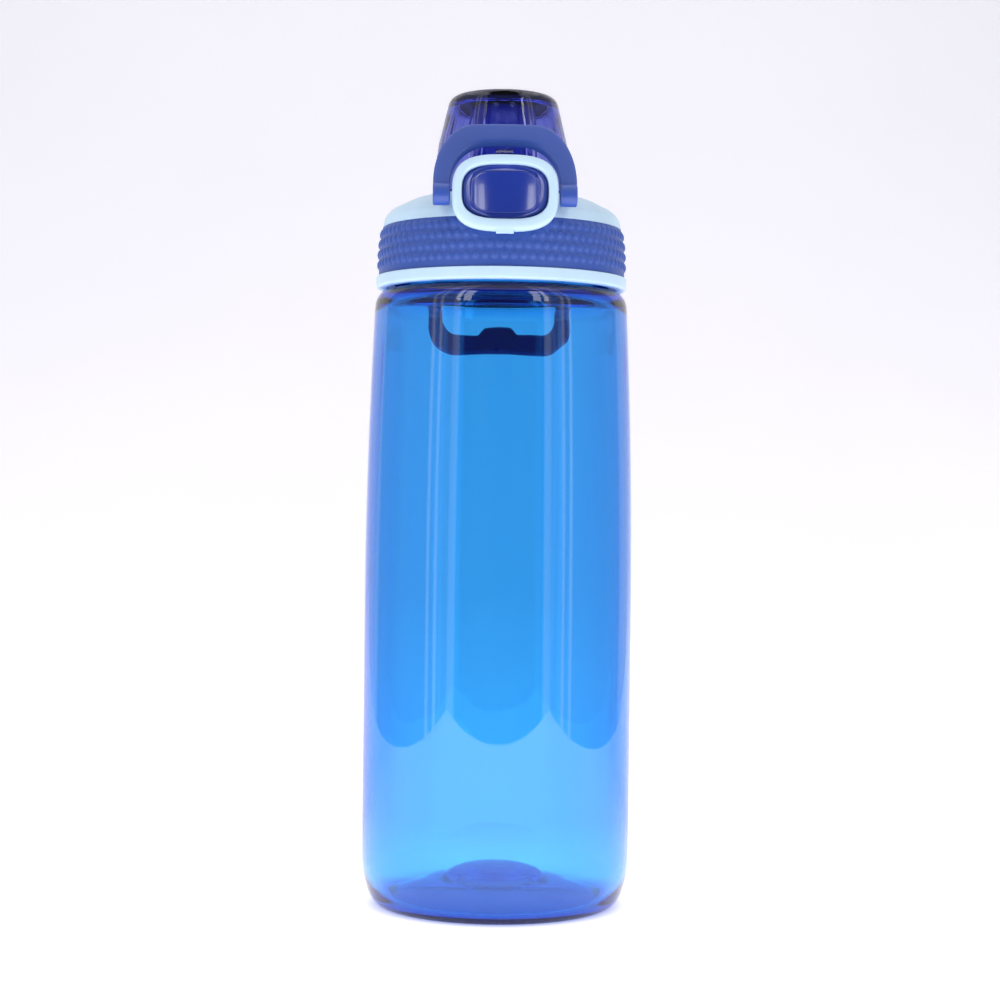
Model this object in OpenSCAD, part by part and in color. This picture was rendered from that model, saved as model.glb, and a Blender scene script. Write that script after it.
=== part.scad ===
// Clear sports bottle with a push-button flip lid, a swinging lock ring and a rear carry loop.
// Millimetres. The origin is the centre of the base on the ground, +Z is up and the button faces -Y.
// Everything above the neck is drawn with the lid screwed down and the cap closed.

/* [Bottle] */
// Radius of the straight barrel
barrel_r = 39; // [38.8:0.1:39.4]
// Height at which the barrel starts to taper
taper_z = 88; // [60:1:110]
// Height of the widest point of the shoulder curve
shoulder_z = 173; // [172:0.5:173.5]
// Radius at the shoulder
shoulder_r = 36.9; // [36.6:0.1:37.1]
// Wall thickness of the bottle
bottle_wall = 2.2; // [1.8:0.1:2.4]
// Height of the hollow under the base
punt_h = 7; // [5:0.5:8]

/* [Neck and thread] */
// Outside radius of the neck
neck_r = 29.6; // [29.4:0.1:29.7]
// Wall thickness of the neck
neck_wall = 2.4; // [2:0.1:2.8]
// Height of the neck's sealing face
neck_top_z = 197.3; // [196.8:0.1:197.3]
// Rise of the lid for one turn
thread_lead = 8; // [7.6:0.2:8.4]
// Length of each of the two thread starts, in turns
thread_turns = 0.85; // [0.5:0.05:0.9]

/* [Lid] */
// Radius of the pale rim under the grip band
rim_r = 36.6; // [36.4:0.1:37]
// Height of the rim's lower edge
rim_z = 179.1; // [179:0.1:179.4]
// Height of the lower edge of the grip band
band_z = 182.6; // [182:0.1:183]
// Height of the upper edge of the grip band
band_top_z = 196.8; // [196.4:0.1:196.8]
// Height of the flat top of the lid
plateau_z = 206; // [205.8:0.1:206.1]

/* [Button] */
// Half width of the bezel round the button
bezel_a = 14.7; // [14.5:0.1:14.8]
// Half height of the bezel round the button
bezel_b = 10.6; // [10.5:0.1:10.8]
// Height of the bezel's centre
bezel_z = 202.5; // [202.4:0.1:202.6]
// How far the bezel's front face lies from the bottle's axis
bezel_y = 39.4; // [39.2:0.1:39.6]
// Travel of the button
button_travel = 1.5; // [1:0.1:1.5]

/* [Flip cap] */
// Radius of the cap's open lower edge
cap_r = 20.6; // [20.4:0.1:20.7]
// Thickness of the cap's wall
cap_wall = 1.9; // [1.6:0.1:2.1]
// Distance of the cap hinge behind the bottle's axis
cap_hinge_y = 23.5; // [23.4:0.1:23.8]
// Height of the cap hinge
cap_hinge_z = 208.6; // [208.5:0.1:208.9]

/* [Lock ring] */
// Half of the lock ring's outside width
ring_half_w = 20; // [19.9:0.1:20.4]
// Width of each leg of the lock ring
ring_leg_w = 4.8; // [4.4:0.1:4.8]
// Thickness of the lock ring
ring_t = 3.2; // [2.6:0.1:3.3]
// How far the lock ring leans back towards the cap
ring_lean = 26.6; // [24:0.2:27]

/* [Carry loop] */
// Half of the loop's outside width
loop_half_w = 23.3; // [23:0.1:24]
// Width of each arm of the loop
loop_arm_w = 4.8; // [4.4:0.1:4.9]
// Height of the loop's lower edge
loop_bottom_z = 162.4; // [160:0.2:164]

/* [Hidden] */
$fn = 96;

// Bottle
heel_rx = 6;
heel_h = 14;
foot_r = 31.5;
base_t = 2.5;
dome_r = 12.4;
dome_h = 2.3;
taper_arc = pow(shoulder_z - taper_z, 2) / (2 * (barrel_r - shoulder_r));
shoulder_rx = 3.5;
shoulder_ry = 5.6;
neck_in_r = neck_r - neck_wall;

// Thread
thread_z = 184.4;
thread_root_w = 2.2;
thread_crest_w = 1.2;
neck_crest_r = neck_r + 1.3;
liner_in_r = neck_crest_r + 0.4;
liner_crest_r = neck_r + 0.35;
thread_step = 7.5;
thread_taper = 30;

// Lid
liner_r = 33.4;
liner_z = 179.7;
deck_z = 198.6;
deck_top_z = 200.4;
shell_in_r = liner_r + 0.1;
band_in_r = 34.6;
dome_in_top_z = 204.1;
spout_hole_r = 10.3;
gasket_z = neck_top_z + 0.05;
vent_y = 17.5;
vent_r = 1.5;

// Button housing
housing_a = bezel_a - 0.3;
housing_b = bezel_b - 0.3;
bezel_t = 2.2;
housing_y = bezel_y - bezel_t;
housing_back_y = 24;
opening_a = 12;
opening_b = 7.55;
opening_z = bezel_z + 0.37;
flange_t = 0.9;
cavity_y = housing_y - flange_t - button_travel - 0.4;
spring_z = opening_z + 4.4;
spring_r = 2;
latch_z = 202.4;
latch_t = 1.3;

// Flip cap
cap_z = plateau_z + 0.4;
cap_top_z = 236.3;
tongue_w = 5;
tongue_y = 23;
tongue_bottom_z = 200.9;
spout_top_z = 232.4;
seal_z = spout_top_z + 0.3;
roof_z = cap_top_z - 2;
spout_bore_r = 6.5;
knuckle_r = 2.4;
pin_r = 1;

// Lock ring
ring_pivot_y = 34.7;
ring_pivot_z = 202.4;
ring_in_w = ring_half_w - ring_leg_w;
ring_stub_r = 1.6;

// Carry loop
loop_pin_y = 35.4;
loop_pin_z = 201.6;
loop_pin_r = 1.25;
loop_y = 38;
loop_back_y = 41.4;
block_half_w = 17.4;

// Points along an elliptical arc
function arc(cx, cy, rx, ry, from, to, n) =
    [for (i = [0 : n]) let (a = from + (to - from) * i / n) [cx + rx * cos(a), cy + ry * sin(a)]];

// Closed superellipse outline: n = 2 is an ellipse, and larger values are squarer
function squircle(a, b, n = 3, steps = 72) =
    [for (i = [0 : steps - 1]) let (t = 360 * i / steps, c = cos(t), s = sin(t))
        [a * sign(c) * pow(abs(c), 2 / n), b * sign(s) * pow(abs(s), 2 / n)]];

// Symmetric outline of a bow from the right-hand halves of its outer and inner edges
function flip_x(path) = [for (p = path) [-p[0], p[1]]];
function backwards(path) = [for (i = [len(path) - 1 : -1 : 0]) path[i]];
function bow(outer, inner) = concat(outer, flip_x(backwards(outer)), flip_x(inner), backwards(inner));

// Outside radius of the bottle between the barrel and the shoulder
function body_r(z) = barrel_r - pow(max(z - taper_z, 0), 2) / (2 * taper_arc);

// Height of the hollow under the base at a given radius
function punt_z(r) = punt_h * (1 - pow(r / foot_r, 2.4));

// A prism that runs along Y from the front face y0 to the back face y1, centred at height z
module along_y(y0, y1, z) {
    translate([0, y1, z]) rotate([90, 0, 0]) linear_extrude(y1 - y0) children();
}

// A prism of an outline drawn in (y, z) that runs along X from x0 to x1
module along_x(x0, x1) {
    translate([x0, 0, 0]) rotate([90, 0, 90]) linear_extrude(x1 - x0) children();
}

// A round bar or bore along X
module rod_x(r, x0, x1, y, z) {
    translate([x0, y, z]) rotate([0, 90, 0]) cylinder(r = r, h = x1 - x0);
}

// Sweeps a ring of points along a route given as a list of rings with the same number of points
module loft(rings) {
    sides = len(rings[0]);
    last = len(rings) - 1;
    points = [for (ring = rings) each ring];
    walls = [for (i = [0 : last - 1], j = [0 : sides - 1])
        let (k = (j + 1) % sides)
        each [[i * sides + j, i * sides + k, (i + 1) * sides + k],
              [i * sides + j, (i + 1) * sides + k, (i + 1) * sides + j]]];
    first_cap = [[for (j = [sides - 1 : -1 : 0]) j]];
    last_cap = [[for (j = [0 : sides - 1]) last * sides + j]];
    polyhedron(points = points, faces = concat(walls, first_cap, last_cap), convexity = 8);
}

// One thread start. Its ends run out into the wall that it stands on.
module thread_start(root_r, crest_r, z, turn) {
    span = 360 * thread_turns;
    steps = ceil(span / thread_step);
    loft([for (i = [0 : steps])
        let (s = span * i / steps,
             a = turn + s,
             h = z + thread_lead * s / 360,
             run_out = max(0.1, min(1, s / thread_taper, (span - s) / thread_taper)),
             r = root_r + (crest_r - root_r) * run_out,
             section = [[root_r, -thread_root_w / 2], [r, -thread_crest_w / 2],
                        [r, thread_crest_w / 2], [root_r, thread_root_w / 2]])
        [for (j = [0 : 3]) let (p = section[crest_r > root_r ? j : 3 - j])
            [p[0] * cos(a), p[0] * sin(a), h + p[1]]]]);
}

// Both starts of a thread, half a turn apart
module thread(root_r, crest_r, z) {
    for (turn = [0, 180]) thread_start(root_r, crest_r, z, turn);
}

// A coil of round wire along +Z from the origin
module coil(r, wire_r, turns, length, per_turn = 16, sides = 6) {
    steps = turns * per_turn;
    loft([for (i = [0 : steps])
        let (a = 360 * i / per_turn, z = wire_r + (length - 2 * wire_r) * i / steps)
        [for (j = [0 : sides - 1])
            let (b = -360 * j / sides, q = r + wire_r * cos(b))
            [q * cos(a), q * sin(a), z - wire_r * sin(b)]]]);
}

// Clear bottle: heel, barrel, tapering body, shoulder and threaded neck
module bottle_body() {
    outside = concat(
        [[0, punt_h + dome_h], [dome_r - 4.4, punt_h + dome_h - 0.7]],
        [[dome_r - 0.8, punt_h + 0.2], [dome_r, punt_h - 0.5]],
        [for (r = [14 : 2 : 30]) [r, punt_z(r)]],
        [[foot_r, 0]],
        arc(barrel_r - heel_rx, heel_h, heel_rx, heel_h, -90, 0, 14),
        [for (i = [0 : 12]) let (z = taper_z + (shoulder_z - taper_z) * i / 12) [body_r(z), z]],
        arc(shoulder_r - shoulder_rx, shoulder_z, shoulder_rx, shoulder_ry, 15, 90, 6),
        [[neck_r + 1.4, 179.3], [neck_r + 0.3, 179.9], [neck_r, 180.8]],
        [[neck_r, neck_top_z - 0.4], [neck_r - 0.4, neck_top_z]]);
    inside = concat(
        [[neck_in_r + 0.4, neck_top_z], [neck_in_r, neck_top_z - 0.4], [neck_in_r, 179]],
        [[neck_in_r + 0.7, 177.6], [neck_in_r + 2.2, 176.9]],
        arc(shoulder_r - bottle_wall - shoulder_rx, shoulder_z - 1.4, shoulder_rx, 4.8, 90, 0, 6),
        [for (i = [11 : -1 : 0]) let (z = taper_z + (shoulder_z - taper_z) * i / 12)
            [body_r(z) - bottle_wall, z]],
        arc(foot_r, heel_h - 1, barrel_r - bottle_wall - foot_r, heel_h - 1 - base_t, 0, -90, 12),
        [for (r = [30 : -2 : 16]) [r, punt_z(r) + base_t]],
        [[dome_r + 1.8, punt_h + 1.7], [dome_r - 0.2, punt_h + 3.1]],
        [[dome_r - 4.4, punt_h + dome_h + 2], [0, punt_h + dome_h + base_t]]);
    color([0.19, 0.57, 0.9, 0.45]) {
        rotate_extrude() polygon(concat(outside, inside));
        thread(neck_r - 0.4, neck_crest_r, thread_z + 2);
    }
}

// Flat silicone ring between the neck and the lid's deck
module neck_gasket() {
    color("whitesmoke") translate([0, 0, gasket_z]) difference() {
        cylinder(r = liner_in_r - 0.2, h = deck_z - gasket_z);
        translate([0, 0, -1]) cylinder(r = neck_in_r - 0.3, h = 4);
    }
}

// Inner cap of the lid: threaded skirt and the deck that closes the neck
module lid_liner() {
    color([0.1, 0.14, 0.45]) {
        difference() {
            rotate_extrude() polygon([
                [liner_in_r + 0.4, liner_z], [liner_r, liner_z], [liner_r, 196.2], [32.2, deck_z],
                [30.6, deck_top_z - 0.3], [29.5, deck_top_z], [11, deck_top_z], [11, deck_z],
                [liner_in_r, deck_z], [liner_in_r, liner_z + 0.4]]);
            translate([0, vent_y, deck_z - 1]) cylinder(r = vent_r, h = 4, $fn = 32);
        }
        thread(liner_in_r + 0.4, liner_crest_r, thread_z);
    }
}

// Outline of the lid shell in (radius, height), without the housing and the hinge block
module shell_outline() {
    polygon([
        [shell_in_r, rim_z], [rim_r - 0.6, rim_z], [rim_r - 0.15, rim_z + 0.4], [rim_r, rim_z + 1],
        [rim_r, band_z], [band_in_r, band_z], [band_in_r, band_top_z], [34.9, band_top_z + 0.2],
        [34.6, 198.4], [34.2, 199.6], [33.3, 200.9], [32.2, 201.8], [29.3, 203.5], [25.8, 205],
        [22.6, 205.8], [20.5, plateau_z], [spout_hole_r, plateau_z], [spout_hole_r, dome_in_top_z],
        [20.4, dome_in_top_z], [25.2, 203.3], [28.5, 201.9], [31.2, 200.2], [32.6, 198.7],
        [shell_in_r, 196.5]]);
}

// Space inside the lid shell, which the liner, the spout's flange and the latch fill
module shell_inside() {
    rotate_extrude() polygon([
        [0, rim_z - 1], [shell_in_r, rim_z - 1], [shell_in_r, 196.5], [32.6, 198.7], [31.2, 200.2],
        [28.5, 201.9], [25.2, 203.3], [20.4, dome_in_top_z], [0, dome_in_top_z]]);
}

// Side outline of the block that carries the carry loop, in (y, z)
module block_outline() {
    polygon(concat(
        [[21, 203], [21, 205.6], [31, 205.5]],
        arc(loop_pin_y, loop_pin_z, 3.2, 3.2, 70, -60, 10),
        [[34, 198], [30, 198]]));
}

// Side outline of an ear of the cap hinge, in (y, z)
module ear_outline() {
    polygon(concat([[20.9, 205]], arc(cap_hinge_y, cap_hinge_z, 2.6, 2.6, 180, 0, 16), [[28.2, 205]]));
}

// Hollow behind the bezel in which the button and its spring move
module button_cavity() {
    along_y(-housing_y - 1, -cavity_y, opening_z) polygon(squircle(opening_a + 0.2, opening_b + 0.85));
    intersection() {
        along_y(-housing_y, -25.6, opening_z) polygon(squircle(opening_a - 1.4, opening_b + 0.4));
        translate([-15, -40, 201.2]) cube([30, 20, 15]);
    }
}

// Pale outer shell: rim, recess for the grip band, dome, button housing and rear hinge block
module lid_shell() {
    color([0.74, 0.87, 0.95]) difference() {
        union() {
            rotate_extrude() shell_outline();
            difference() {
                union() {
                    along_y(-housing_y, -housing_back_y, bezel_z) polygon(squircle(housing_a, housing_b));
                    along_x(-block_half_w, block_half_w) block_outline();
                    for (side = [-1, 1]) along_x(side * 7.5 - 1.2, side * 7.5 + 1.2) ear_outline();
                }
                shell_inside();
            }
        }
        button_cavity();
        translate([-5.3, -26, 201]) cube([10.6, 8.6, 3]);
        translate([-3.1, -tongue_y - 0.6, 202]) cube([6.2, 4, 6]);
        rod_x(ring_stub_r + 0.06, -16, 16, -ring_pivot_y, ring_pivot_z);
        rod_x(pin_r, -10, 10, cap_hinge_y, cap_hinge_z);
        for (side = [-1, 1]) rod_x(loop_pin_r, side * 14.5 - 4.5, side * 14.5 + 4.5, loop_pin_y, loop_pin_z);
    }
}

// Soft grip band in the recess between the rim and the dome
module grip_band() {
    color([0.17, 0.33, 0.64]) difference() {
        rotate_extrude() polygon([
            [band_in_r + 0.05, band_z + 0.05], [35.95, band_z + 0.05], [35.95, 188], [35.8, 191],
            [35.45, 194], [35, 196.2], [band_in_r + 0.05, band_top_z - 0.05]]);
        along_y(-45, -20, bezel_z) polygon(squircle(housing_a + 0.1, housing_b + 0.1));
    }
}

// Pale ring that frames the button
module button_bezel() {
    color([0.74, 0.87, 0.95]) difference() {
        union() {
            along_y(-bezel_y, -housing_y, bezel_z) polygon(squircle(bezel_a, bezel_b));
            translate([-2.45, -bezel_y + 0.2, bezel_z - bezel_b - 0.5]) cube([4.9, bezel_t - 0.2, 2]);
        }
        along_y(-45, -30, opening_z) polygon(squircle(opening_a, opening_b));
    }
}

// Push button with two arms that reach back to a cross bar behind the cap's tongue
module latch_button() {
    color([0.11, 0.2, 0.6]) {
        along_y(-38.5, -housing_y + 0.2, opening_z) polygon(squircle(opening_a - 0.3, opening_b - 0.3));
        along_y(-39.1, -38.4, opening_z) polygon(squircle(9.2, 5.85, 4));
        along_y(-housing_y + 0.2, -housing_y + 0.2 + flange_t, opening_z)
            polygon(squircle(opening_a - 0.2, opening_b + 0.5));
        for (side = [-1, 1]) translate([side * 4.05 - 0.75, -36.5, latch_z]) cube([1.5, 17.9, latch_t]);
        translate([-4.8, -19.8, latch_z]) cube([9.6, 1.2, latch_t]);
        along_y(-36.5, -34, spring_z) circle(r = 1.4, $fn = 32);
    }
}

// Compression spring behind the button
module button_spring() {
    color("silver") translate([0, -25.65, spring_z]) rotate([90, 0, 0])
        coil(spring_r, 0.3, 7, housing_y - 0.2 - flange_t - 25.7);
}

// Transparent flip cap with its hinge knuckles and the tongue that the button holds
module flip_cap() {
    color([0.22, 0.22, 0.6, 0.55]) difference() {
        union() {
            rotate_extrude() polygon(concat(
                [[cap_r - cap_wall, cap_z], [cap_r, cap_z], [19, 221.3], [17.7, 226.5], [16.6, 231]],
                arc(12.6, cap_top_z - 3.9, 3.6, 3.5, 15, 90, 8),
                [[0, cap_top_z], [0, roof_z], [10.2, roof_z - 0.3], [12.6, roof_z - 0.6]],
                [[14.1, roof_z - 1.5], [12.9, roof_z - 1.75], [12.9, roof_z - 2], [14.3, roof_z - 2.6]],
                [[15.8, 226.5], [19 - cap_wall, 221.3]]));
            for (side = [-1, 1]) along_x(side * 4.7 - 1.3, side * 4.7 + 1.3) polygon(concat(
                [[18.6, cap_z + 0.2]], [[cap_hinge_y, cap_hinge_z - knuckle_r]],
                arc(cap_hinge_y, cap_hinge_z, knuckle_r, knuckle_r, -75, 90, 14),
                [[18.4, 212]]));
            along_x(-tongue_w / 2, tongue_w / 2) polygon([
                [-tongue_y, 216], [-tongue_y, tongue_bottom_z + 0.8], [-22.3, tongue_bottom_z],
                [-20.9, tongue_bottom_z], [-20.2, 201.5], [-20.2, 202.1], [-21.4, 202.1], [-21.4, cap_z],
                [-19.6, cap_z], [-18.4, 217.4], [-21, 217.4]]);
        }
        rod_x(pin_r + 0.06, -10, 10, cap_hinge_y, cap_hinge_z);
    }
}

// Dark blue silicone disc snapped in under the roof of the cap, thicker in the middle to close the spout
module cap_seal() {
    color([0.1, 0.17, 0.5]) rotate_extrude() polygon([
        [0, seal_z], [9.6, seal_z], [9.8, roof_z - 1.4], [13.2, roof_z - 1.4],
        [13.2, roof_z - 1.15], [12.2, roof_z - 0.75], [9, roof_z - 0.4], [0, roof_z - 0.15]]);
}

// Steel pin of the cap hinge
module cap_hinge_pin() {
    color("silver") rod_x(pin_r, -8.7, 8.7, cap_hinge_y, cap_hinge_z);
}

// Torsion spring on the hinge pin, with one end on the lid and one behind the cap
module cap_spring() {
    color("silver") {
        translate([-3.1, cap_hinge_y, cap_hinge_z]) rotate([0, 90, 0]) coil(1.85, 0.3, 8, 6.2);
        translate([-2.8, cap_hinge_y, cap_hinge_z - 1.85]) rotate([-90, 0, 0]) cylinder(r = 0.3, h = 5, $fn = 16);
        translate([2.8, cap_hinge_y - 1.85, cap_hinge_z]) cylinder(r = 0.3, h = 2.1, $fn = 16);
    }
}

// U-shaped lock ring that stands in front of the cap and swings down round the button
module lock_ring() {
    bend_u = 3.6;
    outer = concat([[ring_half_w, 0]], arc(8.5, bend_u, ring_half_w - 8.5, 19.4, 0, 90, 16), [[0, 23.2]]);
    inner = concat([[ring_in_w, 0]], arc(4.2, bend_u, ring_in_w - 4.2, 13.2, 0, 90, 16), [[0, 16.9]]);
    color([0.21, 0.33, 0.67]) {
        translate([0, -ring_pivot_y, ring_pivot_z]) rotate([90 - ring_lean, 0, 0])
            translate([0, 0, -ring_t / 2]) linear_extrude(ring_t) polygon(bow(outer, inner));
        for (side = [-1, 1]) {
            rod_x(3.1, side * (ring_in_w + ring_leg_w / 2) - ring_leg_w / 2,
                  side * (ring_in_w + ring_leg_w / 2) + ring_leg_w / 2, -ring_pivot_y, ring_pivot_z);
            rod_x(ring_stub_r, side * 13.95 - 1.35, side * 13.95 + 1.35, -ring_pivot_y, ring_pivot_z);
        }
    }
}

// Carry loop that hangs behind the bottle from two pins
module carry_loop() {
    in_w = loop_half_w - loop_arm_w;
    bar_top_z = loop_bottom_z + 6.5;
    outer = concat([[loop_half_w, 210]], arc(loop_half_w - 9, loop_bottom_z + 9, 9, 9, 0, -90, 12),
                   [[0, loop_bottom_z + 0.5]]);
    inner = concat([[in_w, 210]], arc(in_w - 4.8, bar_top_z + 4.8, 4.8, 4.8, 0, -90, 10),
                   [[6.1, bar_top_z], [4, bar_top_z + 2.2]]);
    color([0.1, 0.15, 0.45]) difference() {
        intersection() {
            translate([0, 60, 0]) rotate([90, 0, 0]) linear_extrude(60) polygon(bow(outer, inner));
            along_x(-30, 30) polygon(concat(
                [[loop_back_y, 155], [loop_back_y, 195.8]],
                arc(loop_pin_y, loop_pin_z, 3.4, 3.4, -10, 210, 20),
                [[loop_y, 194.6], [loop_y, 155]]));
        }
        rod_x(loop_pin_r + 0.06, -30, 30, loop_pin_y, loop_pin_z);
    }
}

// Two steel pins that carry the loop
module loop_pins() {
    color("silver") for (side = [-1, 1])
        rod_x(loop_pin_r, side * 16.7 - 5.7, side * 16.7 + 5.7, loop_pin_y, loop_pin_z);
}

// Drinking spout, which drops into the deck's hole and is held by its flange
module spout() {
    color([0.1, 0.14, 0.45]) rotate_extrude() polygon([
        [spout_bore_r, deck_z - 1], [10.95, deck_z - 1], [10.95, deck_top_z], [11.6, deck_top_z],
        [11.6, deck_top_z + 0.95], [12.8, deck_top_z + 0.95], [12.8, deck_top_z], [14, deck_top_z],
        [14, deck_top_z + 1.8], [9.8, deck_top_z + 1.8], [9.2, spout_top_z - 2],
        [9.5, spout_top_z - 1.2], [9.4, spout_top_z - 0.3], [9, spout_top_z], [7.2, spout_top_z],
        [spout_bore_r, spout_top_z - 1.2]]);
}

// O-ring under the spout's flange
module spout_o_ring() {
    color("black") translate([0, 0, deck_top_z + 0.47]) rotate_extrude()
        translate([12.2, 0]) circle(r = 0.45, $fn = 24);
}

// Small silicone valve that lets air back into the bottle
module vent_valve() {
    color("whitesmoke") translate([0, vent_y, 0]) {
        translate([0, 0, deck_top_z]) cylinder(r = 2.8, h = 0.8, $fn = 32);
        translate([0, 0, deck_z - 0.8]) cylinder(r = vent_r - 0.05, h = 3, $fn = 32);
        translate([0, 0, deck_z - 0.8]) cylinder(r = 2, h = 0.7, $fn = 32);
    }
}

bottle_body();
neck_gasket();
lid_liner();
lid_shell();
grip_band();
button_bezel();
latch_button();
button_spring();
flip_cap();
cap_seal();
cap_hinge_pin();
cap_spring();
lock_ring();
carry_loop();
loop_pins();
spout();
spout_o_ring();
vent_valve();
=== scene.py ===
"""Looks of a clear sports bottle with a push-button flip lid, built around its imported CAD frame."""
import math

import bmesh
import bpy
from mathutils import Matrix, Vector, noise


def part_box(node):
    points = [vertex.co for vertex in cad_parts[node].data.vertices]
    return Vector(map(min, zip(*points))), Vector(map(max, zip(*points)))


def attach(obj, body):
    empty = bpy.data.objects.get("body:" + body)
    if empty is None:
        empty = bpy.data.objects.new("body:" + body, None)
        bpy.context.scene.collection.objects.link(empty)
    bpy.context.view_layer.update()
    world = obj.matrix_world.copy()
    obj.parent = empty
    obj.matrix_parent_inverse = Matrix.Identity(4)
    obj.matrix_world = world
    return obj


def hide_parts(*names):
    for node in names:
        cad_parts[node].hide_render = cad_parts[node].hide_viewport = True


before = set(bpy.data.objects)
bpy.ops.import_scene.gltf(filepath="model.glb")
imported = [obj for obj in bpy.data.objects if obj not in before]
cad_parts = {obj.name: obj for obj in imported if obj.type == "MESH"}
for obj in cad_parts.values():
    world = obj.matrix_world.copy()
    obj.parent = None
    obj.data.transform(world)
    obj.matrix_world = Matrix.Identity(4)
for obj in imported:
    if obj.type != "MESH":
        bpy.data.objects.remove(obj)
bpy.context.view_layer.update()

MM = 0.001
SCENE = bpy.context.scene

# Pivots as (y, z), and heights that several pieces share, in millimetres
CAP_PIVOT = (23.5, 208.6)
RING_PIVOT = (-34.7, 202.4)
LOOP_PIVOT = (35.4, 201.6)
HOUSING_Z = 202.5
PAD_Z = 202.87


def box_mm(node):
    """Lowest and highest corner of a CAD node in millimetres."""
    low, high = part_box(node)
    return low / MM, high / MM


# ---------------------------------------------------------------- outlines

def arc(cx, cy, rx, ry, start, end, steps):
    """Points along an elliptical arc, with angles in degrees."""
    points = []
    for i in range(steps + 1):
        a = math.radians(start + (end - start) * i / steps)
        points.append((cx + rx * math.cos(a), cy + ry * math.sin(a)))
    return points


def rounded(corners, closed=False, step=12):
    """Outline in which each corner (x, y, radius) is an arc of that radius."""
    path = []
    count = len(corners)
    for i, (x, y, radius) in enumerate(corners):
        here = Vector((x, y))
        if radius == 0 or (not closed and i in (0, count - 1)):
            path.append((x, y))
            continue
        before = Vector(corners[i - 1][:2]) - here
        after = Vector(corners[(i + 1) % count][:2]) - here
        half = before.angle(after) / 2
        reach = min(radius / math.tan(half), before.length * 0.49, after.length * 0.49)
        r = reach * math.tan(half)
        inward = (before.normalized() + after.normalized()).normalized()
        centre = here + inward * (r / math.sin(half))
        first = here + before.normalized() * reach - centre
        last = here + after.normalized() * reach - centre
        start = math.atan2(first.y, first.x)
        turn = (math.atan2(last.y, last.x) - start + math.pi) % (2 * math.pi) - math.pi
        steps = max(2, math.ceil(abs(math.degrees(turn)) / step))
        for k in range(steps + 1):
            a = start + turn * k / steps
            path.append((centre.x + r * math.cos(a), centre.y + r * math.sin(a)))
    return path


def squircle(a, b, n=3.0, steps=128):
    """Closed superellipse outline: 2 is an ellipse, and larger values are squarer."""
    points = []
    for i in range(steps):
        t = 2 * math.pi * i / steps
        c, s = math.cos(t), math.sin(t)
        x = a * math.copysign(abs(c) ** (2 / n), c)
        y = b * math.copysign(abs(s) ** (2 / n), s)
        points.append((x, y))
    return points


def smooth(t):
    """Smooth step from 0 to 1."""
    t = min(1.0, max(0.0, t))
    return t * t * (3 - 2 * t)


def along(points, z):
    """Value at height z on a broken line of (height, value)."""
    for (z0, v0), (z1, v1) in zip(points, points[1:]):
        if z <= z1:
            return v0 + (v1 - v0) * max(0, z - z0) / (z1 - z0)
    return points[-1][1]


# ---------------------------------------------------------------- meshes

def build(name, points, faces):
    """Mesh object from points in millimetres."""
    mesh = bpy.data.meshes.new(name)
    mesh.from_pydata([[c * MM for c in p] for p in points], [], faces)
    work = bmesh.new()
    work.from_mesh(mesh)
    bmesh.ops.recalc_face_normals(work, faces=work.faces)
    work.to_mesh(mesh)
    work.free()
    obj = bpy.data.objects.new(name, mesh)
    SCENE.collection.objects.link(obj)
    return obj


def skin(name, rings, wrap=False, gap=None):
    """Surface over rings of points. A ring of one point is a pole, wrap joins the last ring to the first,
    and gap is the ring that isn't joined to the next one."""
    points, index = [], []
    for ring in rings:
        index.append(list(range(len(points), len(points) + len(ring))))
        points.extend(ring)
    pairs = list(zip(index, index[1:]))
    if wrap:
        pairs.append((index[-1], index[0]))
    if gap is not None:
        del pairs[gap]
    faces = []
    for lower, upper in pairs:
        count = max(len(lower), len(upper))
        for j in range(count):
            k = (j + 1) % count
            corners = [lower[j % len(lower)], lower[k % len(lower)],
                       upper[k % len(upper)], upper[j % len(upper)]]
            faces.append(list(dict.fromkeys(corners)))
    if not wrap:
        faces.extend(ring for ring in (index[0], index[-1]) if len(ring) > 2)
    return build(name, points, faces)


def circle(sides):
    """Angles of the corners of a ring."""
    return [2 * math.pi * i / sides for i in range(sides)]


def turned(name, profile, sides, place, wrap=False):
    """Turned shape from a profile of (radius, distance along the axis), set in space by place."""
    rings = []
    for r, distance in profile:
        turns = circle(sides) if r > 1e-6 else [0]
        rings.append([place(r * math.cos(a), r * math.sin(a), distance) for a in turns])
    return skin(name, rings, wrap)


def lathe(name, profile, sides=192, wrap=False):
    """Turned shape about Z from a profile of (radius, height)."""
    return turned(name, profile, sides, lambda u, v, z: (u, v, z), wrap)


def rod_x(name, r, x0, x1, y, z, edge=0.0):
    """Bar or bore along X with softened ends."""
    profile = rounded([(0, x0, 0), (r, x0, edge), (r, x1, edge), (0, x1, 0)], step=20)
    return turned(name, profile, 64, lambda u, v, x: (x, y + u, z + v))


def plate(name, outline, x0, x1):
    """Prism along X of an outline in (y, z)."""
    return skin(name, [[(x, y, z) for y, z in outline] for x in (x0, x1)])


def block(name, low, high):
    """Box-shaped tool for a cut."""
    (x0, y0, z0), (x1, y1, z1) = low, high
    return plate(name, [(y0, z0), (y1, z0), (y1, z1), (y0, z1)], x0, x1)


def layers_y(name, layers, z):
    """Loft along Y of superellipses (y, half width, half height, squareness) at height z."""
    rings = []
    for y, a, b, n in layers:
        if a == 0:
            rings.append([(0, y, z)])
            continue
        rings.append([(u, y, z + v) for u, v in squircle(a, b, n)])
    return skin(name, rings)


def baked(obj):
    """Applies the modifiers of an object."""
    graph = bpy.context.evaluated_depsgraph_get()
    mesh = bpy.data.meshes.new_from_object(obj.evaluated_get(graph))
    old = obj.data
    obj.modifiers.clear()
    obj.data = mesh
    bpy.data.meshes.remove(old)
    return obj


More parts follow.
